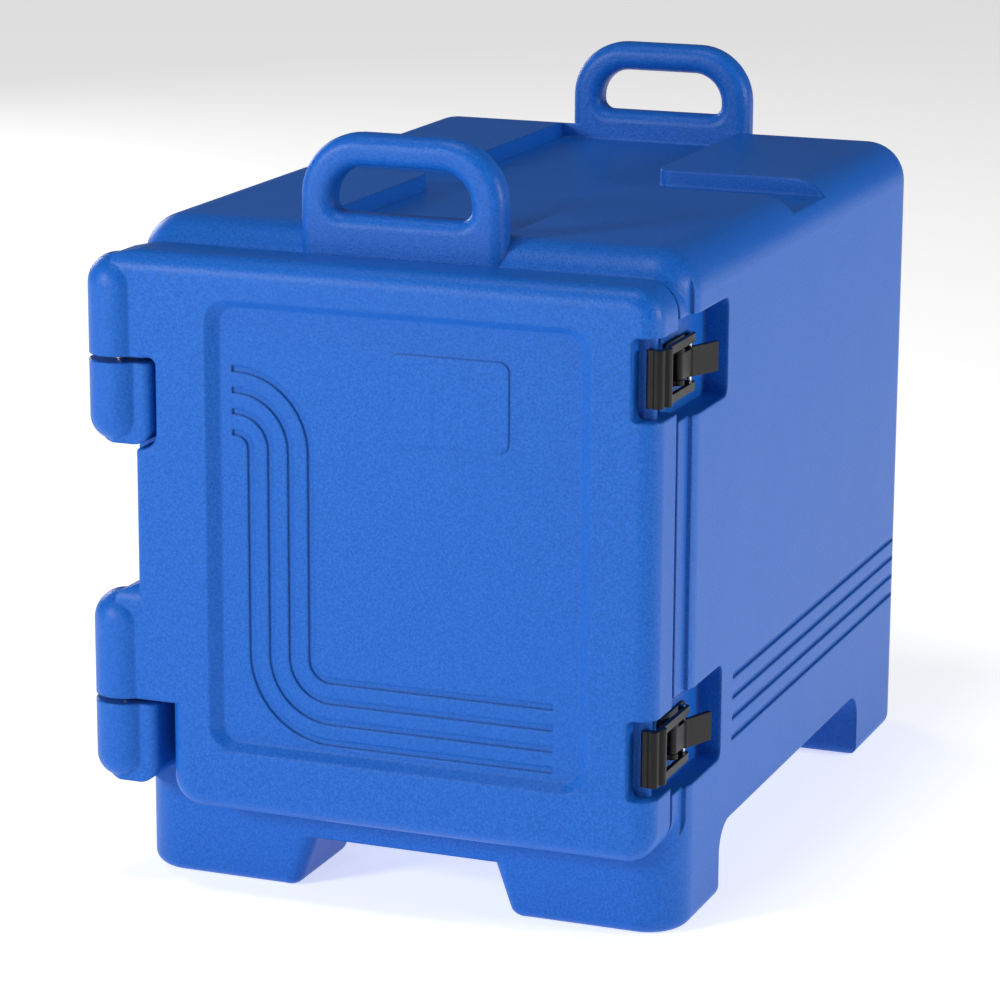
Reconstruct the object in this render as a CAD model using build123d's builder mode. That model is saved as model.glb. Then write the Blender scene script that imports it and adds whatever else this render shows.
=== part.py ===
from build123d import *
import os

# Front-loading insulated food carrier: a double-walled, foam-filled plastic body with
# moulded-in handles, pan rails and feet, a foam-filled door on two steel pins at its
# left edge, and two draw latches at its right edge. Millimetres, +Z up.
# Everything is laid out from the carrier's own corner marks: x from the body's middle,
# y from the body's front plane towards the back, z from the floor. place() then moves
# each piece so that the origin is at the middle of the whole footprint.

os.makedirs("parts", exist_ok=True)

# ---- driving dimensions: body ----
body_width = 460.0
body_depth = 636.0
body_height = 538.0
half_width = body_width / 2
corner_r = 36.0
top_edge_r = 34.0
skin = 4.5

foot_height = 45.0
foot_depth = 105.0
rear_foot_depth = 136.0
foot_gap_bottom = 184.0
foot_gap_top = 152.0
side_arch_height = 61.0
side_arch_r = 24.0
foot_corner_r = 12.0
foot_edge_r = 11.0

seat_half = 225.0
seat_bottom = 74.0
seat_top = 518.0
seat_corner_r = 25.0
strip_depth = 24.0

# ---- cavity and pan rails ----
cavity_width = 340.0
cavity_depth = 574.0
cavity_bottom = 105.0
cavity_top = 475.0
cavity_r = 22.0
rail_count = 5
rail_first_z = 163.0
rail_pitch = 70.0
rail_height = 12.0
rail_reach = 16.0
rail_start_y = 26.0

# ---- stacking channels in the roof ----
channel_depth = 14.0
channel_left = -95.0
channel_right = 75.0
cross_front = 290.0
cross_back = 380.0
pad_corner_r = 12.0

# ---- handles ----
handle_centre_x = -2.0
handle_width = 168.0
handle_top = 613.0
handle_thick = 28.0
handle_corner_r = 50.0
grip_height = 25.0
grip_side = 27.0
window_bottom = 551.0
window_top_r = 26.0
window_bottom_r = 9.0
grip_edge_r = 11.0
handle_root = 512.0

# ---- side grooves ----
groove_count = 4
groove_top_z = 178.0
groove_pitch = 17.0
groove_width = 5.5
groove_sink = 2.0
groove_start_y = 132.0

# ---- hinges ----
hinge_x = -225.0
hinge_y = -30.0
barrel_r = 24.5
pin_r = 4.8
pin_play = 0.05
knuckle_gap = 5.0
body_knuckle_height = 65.0
body_knuckle_tops = {"upper": 431.0, "lower": 154.5}
door_knuckle_tops = {"upper": 515.0, "lower": 244.5}
door_web_rise = {"upper": 4.5, "lower": 8.5}
pin_body_length = 48.0
pin_door_length = 44.0
dome_r = 20.0
door_dome_r = 24.0
body_web_left = 20.5
body_web_right = 33.0
body_web_front = -46.0
body_web_r = 16.0
body_web_edge_r = 8.0
door_web_right = -196.0
notch_right = -187.0
notch_bottom = 363.0
notch_low_r = 14.0

# ---- door ----
door_left = -205.5
door_low_left = -180.0
door_web_low = 159.5
door_left_r = 6.0
door_right = 225.0
door_bottom = 73.0
door_top = 519.5
door_front = -48.0
door_back = -2.0
door_corner_r = 25.0
door_front_r = 16.0
door_back_r = 3.0
panel_left = -144.0
panel_right = 173.0
panel_bottom = 125.0
panel_top = 487.0
panel_sink = 7.0
panel_slope_x = 10.0
panel_slope_z = 6.5
panel_r = 20.0
panel_floor_r = 14.0
label_left = 8.0
label_right = 105.0
label_bottom = 385.0
label_top = 455.0
label_rise = 1.0
label_r = 8.0
rainbow_count = 4
rainbow_width = 5.0
rainbow_sink = 1.6
rainbow_pitch = 16.8
rainbow_start_x = -124.0
rainbow_end_x = 142.0
rainbow_top_centre = (-121.0, 370.0)
rainbow_top_r = 12.0
rainbow_low_centre = (-42.5, 206.5)
rainbow_low_r = 16.0
plug_width = 324.0
plug_bottom = 113.0
plug_top = 467.0
plug_back = 12.0
plug_r = 18.0
gasket_half = 181.0
gasket_bottom = 86.0
gasket_top = 494.0
gasket_r = 30.0
gasket_band = 9.0
gasket_sink = 6.0
gasket_gap = 0.4
door_fill_r = 14.0

# ---- latches ----
latch_levels = {"upper": 451.0, "lower": 157.0}
recess_floor = 210.0
recess_back = 103.0
recess_half = 39.0
notch_half = 32.0
notch_left = 204.0
rib_reach = 217.0
rib_front = -31.0
rib_back = -22.0
lever_axis_x = 219.0
lever_axis_y = 15.0
link_axis_x = 220.5
link_axis_y = 38.0
latch_pin_r = 1.6
hook_height = 44.0
window_height = 31.0
plate_in = 221.5
plate_out = 225.0
plate_front = -36.0
window_front = -19.0
lip_in = 211.5
lip_gap = 0.4
lip_thick = 7.0
lever_width = 23.0
hub_width = 20.0
hub_r = 4.2
ear_thick = 4.0
base_thick = 2.5
base_front = 4.0
base_back = 66.0
base_half = 18.0
tab_end = (231.5, 65.0)
tab_thick = 3.5
screw_rows = (31.0, 57.0)
screw_r = 2.1
screw_length = 13.0
screw_head_r = 3.8
screw_head_height = 2.2

# ---- foam filling ----
fill_hole_r = 16.0
fill_hole_y = 440.0
door_fill_z = 163.0
foam_play = 0.2

# ---- the middle of the footprint, which becomes the origin ----
latch_out = tab_end[0] + tab_thick
origin_x = (hinge_x - barrel_r + latch_out) / 2
origin_y = (hinge_y - barrel_r + body_depth) / 2


def place(piece, name):
    """Moves a finished piece into the frame of the whole carrier and writes it."""
    piece = Pos(-origin_x, -origin_y, 0) * piece
    piece.label = name
    export_step(piece, f"parts/{name}.step")


def span(x0, x1, y0, y1, z0, z1, mode=Mode.ADD):
    """A box between two opposite corners."""
    with Locations(((x0 + x1) / 2, (y0 + y1) / 2, (z0 + z1) / 2)):
        Box(x1 - x0, y1 - y0, z1 - z0, mode=mode)


def upright(x0, x1, z0, z1, radius):
    """A rounded rectangle in a front-view or side-view sketch."""
    with Locations(((x0 + x1) / 2, (z0 + z1) / 2)):
        RectangleRounded(x1 - x0, z1 - z0, radius)


def front_plane(y):
    """A sketch plane at depth y that faces forwards: its x is x and its y is z."""
    return Plane(origin=(0, y, 0), x_dir=(1, 0, 0), z_dir=(0, -1, 0))


def foam_space(play):
    """The space between the body's outer and inner skins, less play all round."""
    wall = skin + play
    front = 8 + play
    back = body_depth - wall
    low = side_arch_height + wall
    high = body_height - channel_depth - wall
    half = cavity_width / 2 + wall
    with BuildPart() as space:
        with BuildSketch(Plane.XY.offset(low)):
            with Locations((0, (front + back) / 2)):
                RectangleRounded(body_width - 2 * wall - 2, back - front, corner_r - 6)
        extrude(amount=high - low)
        fillet(space.faces().sort_by(Axis.Z)[-1].edges(), 14)
        span(-half, half, -1, cavity_depth + wall, cavity_bottom - wall, cavity_top + wall, Mode.SUBTRACT)
        for level in latch_levels.values():
            span(recess_floor - 18 - play, half_width, 0, recess_back + wall,
                 level - recess_half - wall, level + recess_half + wall, Mode.SUBTRACT)
    return space.part


def door_foam_space(play):
    """The space between the door's outer and inner skins, less play all round."""
    wall = skin + play
    front = door_front + panel_sink + wall + rainbow_sink
    back = door_back - gasket_sink - wall
    with BuildPart() as space:
        with BuildSketch(front_plane(back)):
            upright(door_low_left + wall, notch_left - wall, door_bottom + 3 + wall, door_top - 3 - wall, 20)
        extrude(amount=back - front)
        with BuildSketch(front_plane(back)):
            upright(-plug_width / 2 + wall, plug_width / 2 - wall, plug_bottom + wall, plug_top - wall, 12)
        extrude(amount=-(plug_back - wall - back))
    return space.part


def handle(front_y):
    """One moulded-in carrying handle: a rounded loop standing on the roof's edge."""
    left = handle_centre_x - handle_width / 2
    right = handle_centre_x + handle_width / 2
    shoulder = handle_top - handle_corner_r
    with BuildPart() as loop:
        with BuildSketch(front_plane(front_y)):
            with BuildLine():
                Line((left, handle_root), (right, handle_root))
                Line((right, handle_root), (right, shoulder))
                RadiusArc((right, shoulder), (right - handle_corner_r, handle_top), -handle_corner_r)
                Line((right - handle_corner_r, handle_top), (left + handle_corner_r, handle_top))
                RadiusArc((left + handle_corner_r, handle_top), (left, shoulder), -handle_corner_r)
                Line((left, shoulder), (left, handle_root))
            make_face()
        extrude(amount=-handle_thick)
        with BuildSketch(front_plane(front_y)) as window:
            with Locations((handle_centre_x, (window_bottom + handle_top - grip_height) / 2)):
                Rectangle(handle_width - 2 * grip_side, handle_top - grip_height - window_bottom)
            fillet(window.vertices().group_by(Axis.Y)[-1], window_top_r)
            fillet(window.vertices().group_by(Axis.Y)[0], window_bottom_r)
        extrude(amount=-handle_thick, mode=Mode.SUBTRACT)
        rims = loop.faces().filter_by(Axis.Y).edges()
        fillet(rims.filter_by(lambda e: e.center().Z > handle_root + 1), grip_edge_r)
    return loop.part


def pan_rail(side, z):
    """One moulded-in rail that a pan's rim slides on."""
    wall = side * cavity_width / 2
    tip = wall - side * rail_reach
    with BuildPart() as rail:
        span(min(wall + side, tip), max(wall + side, tip), rail_start_y, cavity_depth + 1, z, z + rail_height)
        free = rail.faces().sort_by(Axis.X)[0 if side > 0 else -1]
        fillet(free.edges(), 3)
    return rail.part


def barrel(bottom, top, dome, dome_up):
    """The round part of a hinge knuckle, domed at the end away from the joint."""
    with BuildPart() as tube:
        with Locations((hinge_x, hinge_y, (bottom + top) / 2)):
            Cylinder(barrel_r, top - bottom)
        fillet(tube.faces().sort_by(Axis.Z)[-1 if dome_up else 0].edges(), dome)
    return tube.part


def body_knuckle(top):
    """A knuckle that runs back into the body's left front corner."""
    bottom = top - body_knuckle_height
    left = hinge_x - body_web_left
    right = hinge_x + body_web_right
    with BuildPart() as block:
        with BuildSketch(Plane.XY.offset(bottom - 1)) as plan:
            with BuildLine():
                Polyline((left, hinge_y), (hinge_x, body_web_front), (right, body_web_front),
                         (right, corner_r), (1 - half_width, corner_r), close=True)
            make_face()
            fillet(plan.vertices().filter_by(lambda v: v.X > right - 1 and v.Y < hinge_y), body_web_edge_r)
        extrude(amount=top - bottom + 2)
        with BuildSketch(front_plane(body_web_front - 1)) as profile:
            with Locations(((left + right) / 2, (bottom + top) / 2)):
                Rectangle(right - left + 1, top - bottom)
            fillet(profile.vertices().group_by(Axis.Y)[0], body_web_r)
        extrude(amount=body_web_front - corner_r - 2, mode=Mode.INTERSECT)
        add(barrel(bottom, top, dome_r, False))
    return block.part


def door_knuckle(bottom, top, rise):
    """A knuckle that runs sideways into the door's left edge, with a top that climbs towards it."""
    with BuildPart() as block:
        with BuildSketch(Plane.YZ.offset(hinge_x)) as profile:
            with Locations(((door_front + door_back) / 2, (bottom + top + rise) / 2)):
                Rectangle(door_back - door_front, top + rise - bottom)
            fillet(profile.vertices().group_by(Axis.Y)[-1].sort_by(Axis.X)[0], door_front_r)
        extrude(amount=door_web_right - hinge_x)
        with BuildSketch(front_plane(door_back + 1)):
            with BuildLine():
                Polyline((hinge_x - 1, top), (hinge_x, top), (door_left, top + rise),
                         (door_left, top + rise + 10), (hinge_x - 1, top + rise + 10), close=True)
            make_face()
        extrude(amount=door_back - door_front + 2, mode=Mode.SUBTRACT)
        add(barrel(bottom, top, door_dome_r, True))
    return block.part


# ---- moulded body: outer skin, cavity liner, feet, rails, handles and hinge knuckles ----
with BuildPart() as body_shell:
    with BuildSketch(Plane.XY):
        with Locations((0, body_depth / 2)):
            RectangleRounded(body_width, body_depth, corner_r)
    extrude(amount=body_height)
    fillet(body_shell.faces().sort_by(Axis.Z)[-1].edges(), top_edge_r)
    # the gap between the left and right feet, wider at the floor
    with BuildSketch(front_plane(-1)):
        with BuildLine():
            Polyline((-foot_gap_bottom / 2, 0), (foot_gap_bottom / 2, 0), (foot_gap_top / 2, foot_height),
                     (-foot_gap_top / 2, foot_height), close=True)
        make_face()
    extrude(amount=-(body_depth + 2), mode=Mode.SUBTRACT)
    # the gap between the front and rear feet
    with BuildSketch(Plane.YZ.offset(-half_width - 1)):
        upright(foot_depth, body_depth - rear_foot_depth, -side_arch_height, side_arch_height, side_arch_r)
    extrude(amount=body_width + 2, mode=Mode.SUBTRACT)
    # the feet's corners towards the gaps, and then the edges they stand on
    slanted = body_shell.edges().filter_by(lambda e: 10 < e.center().Z < 30)
    foot_corners = slanted.filter_by(lambda e: abs(e.center().X) < foot_gap_bottom / 2)
    fillet(foot_corners, foot_corner_r)
    fillet(body_shell.faces().filter_by(Axis.Z).group_by(Axis.Z)[0].edges(), foot_edge_r)
    # the seat that the door closes on, with a flat strip down each side of it
    with BuildSketch(front_plane(0)):
        upright(-seat_half, seat_half, seat_bottom, seat_top, seat_corner_r)
    extrude(amount=-corner_r)
    for strip_x in (-half_width - 1, seat_half):
        with BuildSketch(Plane.YZ.offset(strip_x)):
            upright(-strip_depth, strip_depth, seat_bottom, body_height + strip_depth, strip_depth - 4)
        extrude(amount=half_width + 1 - seat_half, mode=Mode.SUBTRACT)
    # roof channels that a stacked carrier's handles and straps run in
    with BuildSketch(Plane.XY.offset(body_height - channel_depth)) as channels:
        with Locations(((channel_left + channel_right) / 2, body_depth / 2)):
            Rectangle(channel_right - channel_left, body_depth - 2 * handle_thick)
        with Locations((0, (cross_front + cross_back) / 2)):
            Rectangle(body_width + 2, cross_back - cross_front)
        pads = channels.vertices().filter_by(lambda v: abs(v.X) < half_width - 1)
        fillet(pads.filter_by(lambda v: cross_front - 1 < v.Y < cross_back + 1), pad_corner_r)
    extrude(amount=channel_depth + 1, mode=Mode.SUBTRACT)
    # the food cavity
    with BuildSketch(front_plane(0)):
        upright(-cavity_width / 2, cavity_width / 2, cavity_bottom, cavity_top, cavity_r)
    extrude(amount=-cavity_depth, mode=Mode.SUBTRACT)
    for rail_index in range(rail_count):
        for rail_side in (-1, 1):
            add(pan_rail(rail_side, rail_first_z + rail_index * rail_pitch))
    # latch recesses in the right side
    for level in latch_levels.values():
        with BuildSketch(Plane.YZ.offset(recess_floor)):
            upright(-30, recess_back, level - recess_half, level + recess_half, 8)
        extrude(amount=half_width + 1 - recess_floor, mode=Mode.SUBTRACT)
        for screw_y in screw_rows:
            with Locations(Location((recess_floor - screw_length / 2, screw_y, level), (0, 90, 0))):
                Cylinder(screw_r, screw_length, mode=Mode.SUBTRACT)
    # decorative grooves low on both sides
    for groove_index in range(groove_count):
        groove_z = groove_top_z - groove_index * groove_pitch
        for groove_x in (-half_width - 1, half_width - groove_sink):
            span(groove_x, groove_x + groove_sink + 1, groove_start_y, body_depth + 1,
                 groove_z - groove_width / 2, groove_z + groove_width / 2, Mode.SUBTRACT)
    add(handle(0))
    add(handle(body_depth - handle_thick))
    for knuckle_top in body_knuckle_tops.values():
        add(body_knuckle(knuckle_top))
        with Locations((hinge_x, hinge_y, knuckle_top - pin_body_length / 2)):
            Cylinder(pin_r, pin_body_length, mode=Mode.SUBTRACT)
    # the hollow that the foam fills, and the hole it is poured through
    add(foam_space(0), mode=Mode.SUBTRACT)
    with Locations((0, fill_hole_y, side_arch_height + skin / 2)):
        Cylinder(fill_hole_r, skin, mode=Mode.SUBTRACT)

place(body_shell.part, "body_shell")
place(foam_space(foam_play), "body_foam")

# ---- plug welded into the body's foam hole ----
with BuildPart() as body_foam_plug:
    with Locations((0, fill_hole_y, side_arch_height + skin / 2)):
        Cylinder(fill_hole_r - foam_play / 2, skin)
    with Locations((0, fill_hole_y, side_arch_height - 1)):
        Cylinder(fill_hole_r + 4, 2)

place(body_foam_plug.part, "body_foam_plug")

# ---- moulded door: outer skin, inner plug, hinge knuckles and latch ribs ----
with BuildPart() as door_edge:
    with BuildSketch(Plane.YZ.offset(door_left)) as side:
        with Locations(((door_front + door_back) / 2, (door_web_low + door_top) / 2)):
            Rectangle(door_back - door_front, door_top - door_web_low)
        fillet(side.vertices().group_by(Axis.Y)[-1].sort_by(Axis.X)[0], door_front_r)
    extrude(amount=panel_left - door_left - 10)
    outer = door_edge.faces().sort_by(Axis.X)[0].edges()
    fillet(outer.filter_by(lambda e: e.center().Y < door_front + door_front_r - 6), door_left_r)
    with BuildSketch(front_plane(0)) as notch:
        with Locations((notch_right - 20, (notch_bottom + body_knuckle_tops["upper"] + knuckle_gap) / 2)):
            Rectangle(40, body_knuckle_tops["upper"] + knuckle_gap - notch_bottom)
        fillet(notch.vertices().sort_by(Axis.X)[-2:].sort_by(Axis.Y)[0], notch_low_r)
        fillet(notch.vertices().sort_by(Axis.X)[-1], door_left_r)
    extrude(amount=-door_front + 1, mode=Mode.SUBTRACT)
    rim = door_edge.faces().filter_by(Axis.Y).sort_by(Axis.Y)[0].edges()
    fillet(rim.filter_by(lambda e: abs(e.center().X - notch_right) < 1), 3)

with BuildPart() as door_shell:
    with BuildSketch(front_plane(door_back)):
        upright(door_low_left, door_right, door_bottom, door_top, door_corner_r)
    extrude(amount=door_back - door_front)
    fillet(door_shell.faces().sort_by(Axis.Y)[0].edges(), door_front_r)
    fillet(door_shell.faces().sort_by(Axis.Y)[-1].edges(), door_back_r)
    add(door_edge.part)
    # the raised back that closes into the cavity's mouth
    with BuildSketch(front_plane(door_back - 1)):
        upright(-plug_width / 2, plug_width / 2, plug_bottom, plug_top, plug_r)
    extrude(amount=-(plug_back - door_back + 1), taper=6)
    fillet(door_shell.faces().sort_by(Axis.Y)[-1].edges(), 4)
    # the sunk front panel, its label field and its four bent grooves
    with BuildSketch(front_plane(door_front)):
        upright(panel_left, panel_right, panel_bottom, panel_top, panel_r)
    with BuildSketch(front_plane(door_front + panel_sink)):
        upright(panel_left + panel_slope_x, panel_right - panel_slope_x, panel_bottom + panel_slope_z,
                panel_top - panel_slope_z, panel_floor_r)
    loft(mode=Mode.SUBTRACT)
    with BuildSketch(front_plane(door_front + panel_sink)):
        upright(label_left, label_right, label_bottom, label_top, label_r)
    extrude(amount=label_rise)
    with BuildSketch(front_plane(door_front + panel_sink)):
        for ring in range(rainbow_count):
            top_r = rainbow_top_r + ring * rainbow_pitch
            low_r = rainbow_low_r + (rainbow_count - 1 - ring) * rainbow_pitch
            top_x, top_z = rainbow_top_centre
            low_x, low_z = rainbow_low_centre
            with BuildLine() as bent:
                Line((rainbow_start_x, top_z + top_r), (top_x, top_z + top_r))
                CenterArc((top_x, top_z), top_r, 90, -90)
                Line((top_x + top_r, top_z), (low_x - low_r, low_z))
                CenterArc((low_x, low_z), low_r, 180, 90)
                Line((low_x, low_z - low_r), (rainbow_end_x, low_z - low_r))
            trace(line_width=rainbow_width)
    extrude(amount=-rainbow_sink, mode=Mode.SUBTRACT)
    for name, knuckle_top in door_knuckle_tops.items():
        pin_foot = body_knuckle_tops[name] + knuckle_gap
        add(door_knuckle(pin_foot, knuckle_top, door_web_rise[name]))
        with Locations((hinge_x, hinge_y, pin_foot + pin_door_length / 2)):
            Cylinder(pin_r + pin_play, pin_door_length, mode=Mode.SUBTRACT)
    # the notches at the latches, each with the rib that the hook pulls on
    for level in latch_levels.values():
        with BuildSketch(front_plane(0)):
            upright(notch_left, door_right + 20, level - notch_half, level + notch_half, 5)
        extrude(amount=-door_front + 1, mode=Mode.SUBTRACT)
        with BuildSketch(Plane.XY.offset(level - notch_half)):
            upright(notch_left - 10, rib_reach, rib_front, rib_back, 4)
        extrude(amount=2 * notch_half)
    # the groove that holds the gasket
    with BuildSketch(front_plane(door_back)):
        upright(-gasket_half, gasket_half, gasket_bottom, gasket_top, gasket_r)
        with Locations((0, (gasket_bottom + gasket_top) / 2)):
            RectangleRounded(2 * (gasket_half - gasket_band), gasket_top - gasket_bottom - 2 * gasket_band,
                             gasket_r - gasket_band, mode=Mode.SUBTRACT)
    extrude(amount=gasket_sink, mode=Mode.SUBTRACT)
    add(door_foam_space(0), mode=Mode.SUBTRACT)
    with Locations(Location((0, plug_back - skin / 2, door_fill_z), (90, 0, 0))):
        Cylinder(door_fill_r, skin, mode=Mode.SUBTRACT)

place(door_shell.part, "door_shell")
place(door_foam_space(foam_play), "door_foam")

# ---- plug welded into the door's foam hole ----
with BuildPart() as door_foam_plug:
    with Locations(Location((0, plug_back - skin / 2, door_fill_z), (90, 0, 0))):
        Cylinder(door_fill_r - foam_play / 2, skin)
    with Locations(Location((0, plug_back + 0.75, door_fill_z), (90, 0, 0))):
        Cylinder(door_fill_r + 4, 1.5)

place(door_foam_plug.part, "door_foam_plug")

# ---- door gasket: a soft ring pressed into its groove ----
with BuildPart() as door_gasket:
    with BuildSketch(front_plane(-gasket_gap)):
        upright(-gasket_half, gasket_half, gasket_bottom, gasket_top, gasket_r)
        with Locations((0, (gasket_bottom + gasket_top) / 2)):
            RectangleRounded(2 * (gasket_half - gasket_band), gasket_top - gasket_bottom - 2 * gasket_band,
                             gasket_r - gasket_band, mode=Mode.SUBTRACT)
    extrude(amount=gasket_sink - door_back - gasket_gap)
    fillet(door_gasket.faces().sort_by(Axis.Y)[-1].edges(), 1.2)

place(door_gasket.part, "door_gasket")

# ---- steel hinge pins, driven into the body's knuckles ----
for name, knuckle_top in body_knuckle_tops.items():
    low = knuckle_top - pin_body_length
    length = pin_body_length + knuckle_gap + pin_door_length - pin_play
    with BuildPart() as hinge_pin:
        with Locations((hinge_x, hinge_y, low + length / 2)):
            Cylinder(pin_r, length)
        chamfer(hinge_pin.faces().sort_by(Axis.Z)[-1].edges(), 1)
    place(hinge_pin.part, f"hinge_pin_{name}")


def latch_base(level):
    """The plate screwed to the recess floor, with two ears for the lever's pin."""
    with BuildPart() as base:
        with BuildSketch(Plane.YZ.offset(recess_floor)):
            upright(base_front, base_back, level - base_half, level + base_half, 4)
        extrude(amount=base_thick)
        for side in (-1, 1):
            ear_low = level + side * (hub_width / 2 + 0.3)
            ear_high = ear_low + side * ear_thick
            with BuildSketch(Plane.XY.offset(min(ear_low, ear_high))):
                with Locations((lever_axis_x, lever_axis_y)):
                    Circle(hub_r + 0.6)
                with BuildLine():
                    Polyline((recess_floor + 1, base_front + 2),
                             (recess_floor + 1, base_front + 24),
                             (lever_axis_x, lever_axis_y + hub_r + 0.6),
                             (lever_axis_x, lever_axis_y - hub_r - 0.6), close=True)
                make_face()
            extrude(amount=ear_thick)
        with Locations((lever_axis_x, lever_axis_y, level)):
            Cylinder(latch_pin_r, 2 * base_half, mode=Mode.SUBTRACT)
        for screw_y in screw_rows:
            with Locations(Location((recess_floor + base_thick / 2, screw_y, level), (0, 90, 0))):
                Cylinder(screw_r + 0.2, base_thick, mode=Mode.SUBTRACT)
    return base.part


def latch_lever(level):
    """The over-centre lever: a hub between the ears, a link boss and a finger tab."""
    with BuildPart() as lever:
        with BuildSketch(Plane.XY.offset(level - hub_width / 2)):
            with Locations((lever_axis_x, lever_axis_y)):
                Circle(hub_r)
            with BuildLine():
                Polyline((lever_axis_x - 2.2, lever_axis_y), (lever_axis_x - 1, link_axis_y),
                         (lever_axis_x + 4, link_axis_y), (lever_axis_x + 3.6, lever_axis_y), close=True)
            make_face()
        extrude(amount=hub_width)
        with BuildSketch(Plane.XY.offset(level - lever_width / 2)):
            with Locations((link_axis_x, link_axis_y)):
                Circle(hub_r)
            with BuildLine():
                tab_x, tab_y = tab_end
                Polyline((link_axis_x + 0.5, link_axis_y + 1), (tab_x, tab_y),
                         (tab_x + tab_thick, tab_y - 1.5),
                         (link_axis_x + hub_r - 0.6, link_axis_y - 2), close=True)
            make_face()
        extrude(amount=lever_width)
        with Locations((lever_axis_x, lever_axis_y, level)):
            Cylinder(latch_pin_r + pin_play, hub_width, mode=Mode.SUBTRACT)
        with Locations((link_axis_x, link_axis_y, level)):
            Cylinder(latch_pin_r, lever_width, mode=Mode.SUBTRACT)
    return lever.part


def latch_hook(level):
    """The draw plate: a window frame whose rolled front edge hooks over the door's rib."""
    lip_back = rib_front - lip_gap
    with BuildPart() as hook:
        with BuildSketch(Plane.XY.offset(level - hook_height / 2)):
            with BuildLine():
                Polyline((plate_in, plate_front), (plate_in, link_axis_y), (plate_out, link_axis_y),
                         (plate_out, plate_front), close=True)
            make_face()
            upright(lip_in, plate_out, lip_back - lip_thick, lip_back, 2.8)
            with Locations((plate_out - 4.6, lip_back - 3.2), (plate_out - 1.6, lip_back + 6.4)):
                Circle(4.8)
            with Locations((link_axis_x, link_axis_y)):
                Circle(hub_r)
        extrude(amount=hook_height)
        span(lip_in - 1, plate_out + 8, window_front, link_axis_y + 20, level - window_height / 2,
             level + window_height / 2, Mode.SUBTRACT)
        span(lip_in - 1, plate_in, rib_front - lip_gap, window_front, level - hook_height / 2,
             level + hook_height / 2, Mode.SUBTRACT)
        with Locations((link_axis_x, link_axis_y, level)):
            Cylinder(latch_pin_r + pin_play, hook_height, mode=Mode.SUBTRACT)
    return hook.part


for name, level in latch_levels.items():
    place(latch_base(level), f"latch_{name}_base")
    place(latch_lever(level), f"latch_{name}_lever")
    place(latch_hook(level), f"latch_{name}_hook")
    with BuildPart() as lever_pin:
        with Locations((lever_axis_x, lever_axis_y, level)):
            Cylinder(latch_pin_r, hub_width + 2 * ear_thick + 0.6)
    place(lever_pin.part, f"latch_{name}_lever_pin")
    with BuildPart() as link_pin:
        with Locations((link_axis_x, link_axis_y, level)):
            Cylinder(latch_pin_r, hook_height + 1)
    place(link_pin.part, f"latch_{name}_link_pin")
    seat_x = recess_floor + base_thick
    with BuildPart() as screws:
        for screw_y in screw_rows:
            with Locations(Location((seat_x - screw_length / 2, screw_y, level), (0, 90, 0))):
                Cylinder(screw_r - 0.02, screw_length)
            with Locations(Location((seat_x + screw_head_height / 2, screw_y, level), (0, 90, 0))):
                Cylinder(screw_head_r, screw_head_height)
    place(screws.part, f"latch_{name}_screws")
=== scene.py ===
import math

import bpy
from mathutils import Matrix, Vector


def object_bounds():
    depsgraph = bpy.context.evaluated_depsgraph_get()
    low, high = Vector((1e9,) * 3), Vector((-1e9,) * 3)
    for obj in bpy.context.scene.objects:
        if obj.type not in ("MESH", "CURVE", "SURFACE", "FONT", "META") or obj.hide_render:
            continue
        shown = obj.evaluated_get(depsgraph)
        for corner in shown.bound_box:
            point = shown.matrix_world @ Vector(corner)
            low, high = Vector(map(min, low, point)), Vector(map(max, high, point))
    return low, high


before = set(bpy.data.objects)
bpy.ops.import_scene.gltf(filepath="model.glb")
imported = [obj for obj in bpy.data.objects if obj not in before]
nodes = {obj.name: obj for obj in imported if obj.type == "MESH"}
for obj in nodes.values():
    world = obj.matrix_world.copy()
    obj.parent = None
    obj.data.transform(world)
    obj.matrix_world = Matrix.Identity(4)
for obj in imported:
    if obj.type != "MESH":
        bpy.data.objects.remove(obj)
cad_low, cad_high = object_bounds()


# ---- moulded body ----
# The body is one rotationally moulded shell of blue polyethylene, with its handles, feet,
# knuckles and pan rails in the same piece. The mould leaves a fine pebbled grain and slightly
# wavy faces, and rounds every edge.


class Wire:
    """A shader socket that Python arithmetic joins up with Math nodes."""

    def __init__(self, socket):
        self.socket = socket
        self.tree = socket.id_data

    def math(self, operation, first, second):
        return node(self.tree, "ShaderNodeMath", {"operation": operation}, {0: first, 1: second})

    def __add__(self, other):
        return self.math("ADD", self, other)

    __radd__ = __add__

    def __sub__(self, other):
        return self.math("SUBTRACT", self, other)

    def __rsub__(self, other):
        return self.math("SUBTRACT", other, self)

    def __mul__(self, other):
        return self.math("MULTIPLY", self, other)

    __rmul__ = __mul__

    def clipped(self):
        return node(self.tree, "ShaderNodeClamp", {}, {"Value": self})


def node(tree, kind, settings, inputs, output=0):
    """Adds a node, sets it up, gives its sockets their values or links, and returns an output."""
    made = tree.nodes.new(kind)
    for key, value in settings.items():
        setattr(made, key, value)
    for key, value in inputs.items():
        if isinstance(value, Wire):
            tree.links.new(value.socket, made.inputs[key])
        else:
            made.inputs[key].default_value = value
    return Wire(made.outputs[output])


def material(name):
    """A new node material, its Principled shader and its object-space coordinates."""
    made = bpy.data.materials.new(name)
    made.use_nodes = True
    tree = made.node_tree
    shader = tree.nodes["Principled BSDF"]
    place = node(tree, "ShaderNodeTexCoord", {}, {}, "Object")
    return made, tree, shader, place


def mottle(tree, place, scale, detail):
    """Noise of about 0 to 1 over a surface; scale is its blotches per metre."""
    inputs = {"Vector": place, "Scale": scale, "Detail": detail}
    return node(tree, "ShaderNodeTexNoise", {}, inputs, "Fac")


def mix(tree, factor, first, second):
    """A colour between two others."""
    return node(tree, "ShaderNodeMix", {"data_type": "RGBA"}, {0: factor, 6: first, 7: second}, 2)


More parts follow.
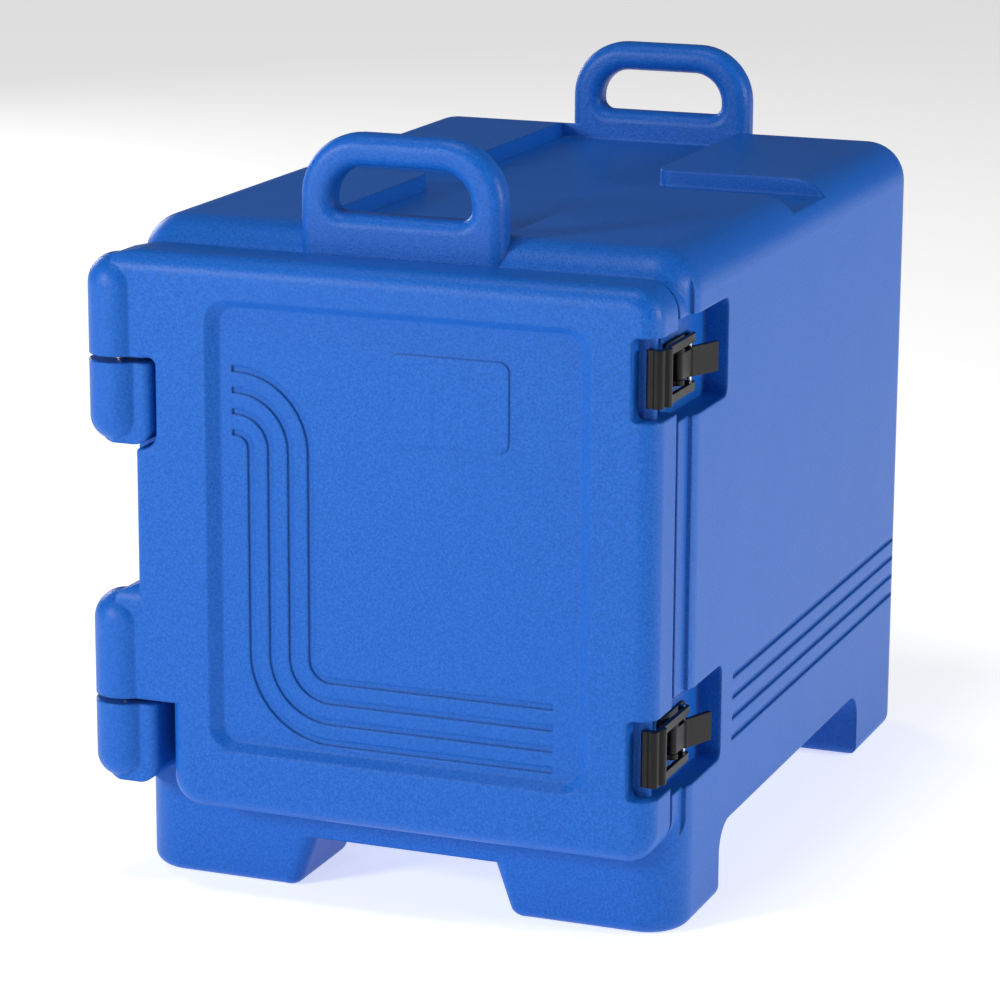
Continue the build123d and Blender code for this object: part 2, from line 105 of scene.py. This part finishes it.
def raised(tree, height, distance, **under):
    """A normal bumped by a height of 0 to 1, which stands for a distance in metres."""
    inputs = {"Distance": distance, "Height": height, **under}
    return node(tree, "ShaderNodeBump", {}, inputs, "Normal")


def rounded(tree, radius):
    """A normal that rounds sharp edges off to a radius in metres."""
    return node(tree, "ShaderNodeBevel", {"samples": 6}, {"Radius": radius}, "Normal")


def finish_with(shader, **links):
    """Links or sets the Principled shader's sockets, with _ for the spaces in their names."""
    for key, value in links.items():
        socket = shader.inputs[key.replace("_", " ")]
        if isinstance(value, Wire):
            value.tree.links.new(value.socket, socket)
        else:
            socket.default_value = value


def coat(names, made):
    """Gives the named nodes a material in place of their plain one."""
    for name in names:
        nodes[name].data.materials.clear()
        nodes[name].data.materials.append(made)


deep_blue = (0.002, 0.080, 0.385, 1.0)
mid_blue = (0.004, 0.092, 0.425, 1.0)
speck_blue = (0.014, 0.138, 0.56, 1.0)
moulded_edge_r = 0.0035
wave_height = 0.0011
shell_grain = 0.00022
plastic_specular = 0.22


def moulded_blue(name, grain):
    """Rotationally moulded blue polyethylene; grain is the height of its pebbling in metres."""
    made, tree, shader, place = material(name)
    pebble_size = {"Scale": 620.0, "Smoothness": 0.9, "Randomness": 1.0}
    pebbles = node(tree, "ShaderNodeTexVoronoi", {"feature": "SMOOTH_F1"},
                   {"Vector": place, **pebble_size}, "Distance")
    fine = mottle(tree, place, 1500.0, 2.0)
    waves = mottle(tree, place, 9.0, 2.0)
    cloud = mottle(tree, place, 4.0, 3.0)
    speck = mottle(tree, place, 560.0, 3.0)
    tone = mix(tree, cloud, deep_blue, mid_blue)
    tone = mix(tree, ((speck - 0.5) * 2.2 + 0.35).clipped(), tone, speck_blue)
    soft = rounded(tree, moulded_edge_r)
    grained = raised(tree, pebbles * 0.7 + fine * 0.3, grain, Strength=1.0, Normal=soft)
    uneven = raised(tree, waves, wave_height, Strength=1.0, Normal=grained)
    finish_with(shader, Base_Color=tone, Roughness=0.33 + speck * 0.12, Normal=uneven,
                Specular_IOR_Level=plastic_specular)
    return made


blue_shell = moulded_blue("blue_polyethylene", shell_grain)
coat(["body_shell"], blue_shell)


# ---- door ----
# The door is moulded from the same blue polyethylene in a mould of its own, so it has the
# body's grain and colour. It hangs by two knuckles on the hinge pins.
coat(["door_shell"], blue_shell)


# ---- foam fillings and their plugs ----
# Polyurethane foam is poured through a hole in each shell, which is then closed by a smoother
# plug of the same plastic, welded in. The foam isn't seen unless a plug is out.
foam_dark = (0.80, 0.66, 0.36, 1)
foam_light = (0.90, 0.80, 0.55, 1)
foam_cells_per_metre = 700.0
foam_cell_height = 0.0006
plug_grain = 0.00006

made, tree, shader, place = material("insulation_foam")
cells = node(tree, "ShaderNodeTexVoronoi", {}, {"Vector": place, "Scale": foam_cells_per_metre},
             "Distance")
finish_with(shader, Base_Color=mix(tree, cells, foam_dark, foam_light), Roughness=0.85,
            Normal=raised(tree, cells, foam_cell_height))
coat(["body_foam", "door_foam"], made)
coat(["body_foam_plug", "door_foam_plug"], moulded_blue("plug_plastic", plug_grain))


# ---- door gasket ----
# A ring of soft dark silicone, extruded and pressed into the groove in the door's back. Its
# matt skin holds a little dust.
gasket_dark = (0.045, 0.046, 0.05, 1)
gasket_dusty = (0.075, 0.077, 0.082, 1)
dust_height = 0.0001

made, tree, shader, place = material("gasket_rubber")
dust = mottle(tree, place, 260.0, 5.0)
finish_with(shader, Base_Color=mix(tree, dust, gasket_dark, gasket_dusty),
            Roughness=0.55 + dust * 0.2, Normal=raised(tree, dust, dust_height))
coat(["door_gasket"], made)


# ---- stainless pins and screws ----
# The hinge pins and latch pins are drawn stainless rod, cut to length, and the screws are
# turned from it. A polishing belt leaves fine rings round them.
steel_dark = (0.60, 0.60, 0.60, 1)
steel_bright = (0.72, 0.72, 0.72, 1)
rings_per_metre = (40.0, 40.0, 2600.0)
ring_height = 0.00002

made, tree, shader, place = material("stainless_steel")
ringed = node(tree, "ShaderNodeMapping", {}, {"Vector": place, "Scale": rings_per_metre}, "Vector")
rings = mottle(tree, ringed, 1.0, 2.0)
finish_with(shader, Base_Color=mix(tree, rings, steel_dark, steel_bright), Metallic=1.0,
            Roughness=0.18 + rings * 0.14, Normal=raised(tree, rings, ring_height))
steel_pieces = [name for name in nodes if "pin" in name or "screws" in name]
coat(steel_pieces, made)


# ---- latches ----
# Each latch is a base screwed to the body, a lever and a hook, injection-moulded in black
# nylon: satin from the mould, with slightly greyed rubbing marks.
nylon_black = (0.0025, 0.0025, 0.003, 1)
nylon_rubbed = (0.010, 0.009, 0.008, 1)
nylon_edge_r = 0.0007
pit_height = 0.00006

made, tree, shader, place = material("black_nylon")
rub = mottle(tree, place, 90.0, 6.0)
pit = mottle(tree, place, 1400.0, 2.0)
pitted = raised(tree, pit, pit_height, Normal=rounded(tree, nylon_edge_r))
finish_with(shader, Base_Color=mix(tree, rub, nylon_black, nylon_rubbed),
            Roughness=0.26 + rub * 0.20, Normal=pitted, Specular_IOR_Level=plastic_specular)
coat([name for name in nodes if name.startswith("latch") and name not in steel_pieces], made)


# ---- shading of the curved faces ----
# The mouldings' rounded corners, and the pins and hooks, are one smooth surface each, so
# their mesh faces are shaded as one.
for piece in nodes.values():
    for face in piece.data.polygons:
        face.use_smooth = True


# ---- floor ----
# A plain sweep of pale studio paper, faintly lit of its own, which keeps the shadows of the
# feet soft and the ground nearly white.
floor_size = 60
paper_cool = (0.86, 0.86, 0.87, 1)
paper_warm = (0.88, 0.88, 0.885, 1)
paper_glow = 0.6

bpy.ops.mesh.primitive_plane_add(size=floor_size, location=(0, 0, 0))
floor = bpy.context.object
floor.name = "studio_floor"
made, tree, shader, place = material("studio_paper")
paper = mottle(tree, place, 3.0, 2.0)
finish_with(shader, Base_Color=mix(tree, paper, paper_cool, paper_warm), Roughness=0.8,
            Emission_Color=(1.0, 1.0, 1.0, 1.0), Emission_Strength=paper_glow)
floor.data.materials.append(made)


# ---- lights ----
# Five soft boxes: a key at the front left, one on the latch side, and weaker ones in front,
# overhead and behind. The room adds very little, so the roof stays darker than the sides.
carrier_middle = (cad_low + cad_high) / 2
room_light = 0.10


def soft_box(name, place, size, power):
    """A square area light facing the carrier; size in metres, power in watts."""
    light = bpy.data.lights.new(name, "AREA")
    light.size = size
    light.energy = power
    lamp = bpy.data.objects.new(name, light)
    lamp.location = place
    facing = Vector(carrier_middle) - Vector(place)
    lamp.rotation_euler = facing.to_track_quat("-Z", "Y").to_euler()
    bpy.context.scene.collection.objects.link(lamp)


soft_box("key_box", (-2.2, -3.2, 1.5), 0.8, 84)
soft_box("side_box", (3.5, 0.2, 1.2), 1.1, 66)
soft_box("front_box", (-0.6, -3.8, 0.9), 0.7, 20)
soft_box("roof_box", (-0.2, -0.9, 3.2), 0.7, 26)
soft_box("back_box", (-3.3, 2.4, 1.3), 1.2, 34)

world = bpy.data.worlds.new("studio")
world.use_nodes = True
room = world.node_tree.nodes["Background"]
room.inputs["Color"].default_value = (1.0, 1.0, 1.0, 1.0)
room.inputs["Strength"].default_value = room_light
bpy.context.scene.world = world
bpy.context.scene.view_settings.view_transform = "Standard"


# ---- camera ----
# A long lens, turned round towards the latch side and looking down on the carrier's front
# from a little above it, with a very slight roll.
camera_azimuth = math.radians(21.216)
camera_drop = math.radians(13.986)
camera_roll = math.radians(0.29)
camera_distance = 3.2229
camera_target = Vector((-0.0235, 0.0, 0.2605))
lens_length_mm = 136.3
sensor_width_mm = 36.0

ahead = Vector((-math.sin(camera_azimuth) * math.cos(camera_drop),
                math.cos(camera_azimuth) * math.cos(camera_drop), -math.sin(camera_drop)))
level_right = ahead.cross(Vector((0, 0, 1))).normalized()
level_up = level_right.cross(ahead)
right = math.cos(camera_roll) * level_right + math.sin(camera_roll) * level_up
up = math.cos(camera_roll) * level_up - math.sin(camera_roll) * level_right
lens = bpy.data.cameras.new("camera")
lens.lens = lens_length_mm
lens.sensor_width = sensor_width_mm
camera = bpy.data.objects.new("camera", lens)
turn = Matrix((right, up, -ahead)).transposed().to_4x4()
camera.matrix_world = Matrix.Translation(camera_target - camera_distance * ahead) @ turn
bpy.context.scene.collection.objects.link(camera)
bpy.context.scene.camera = camera
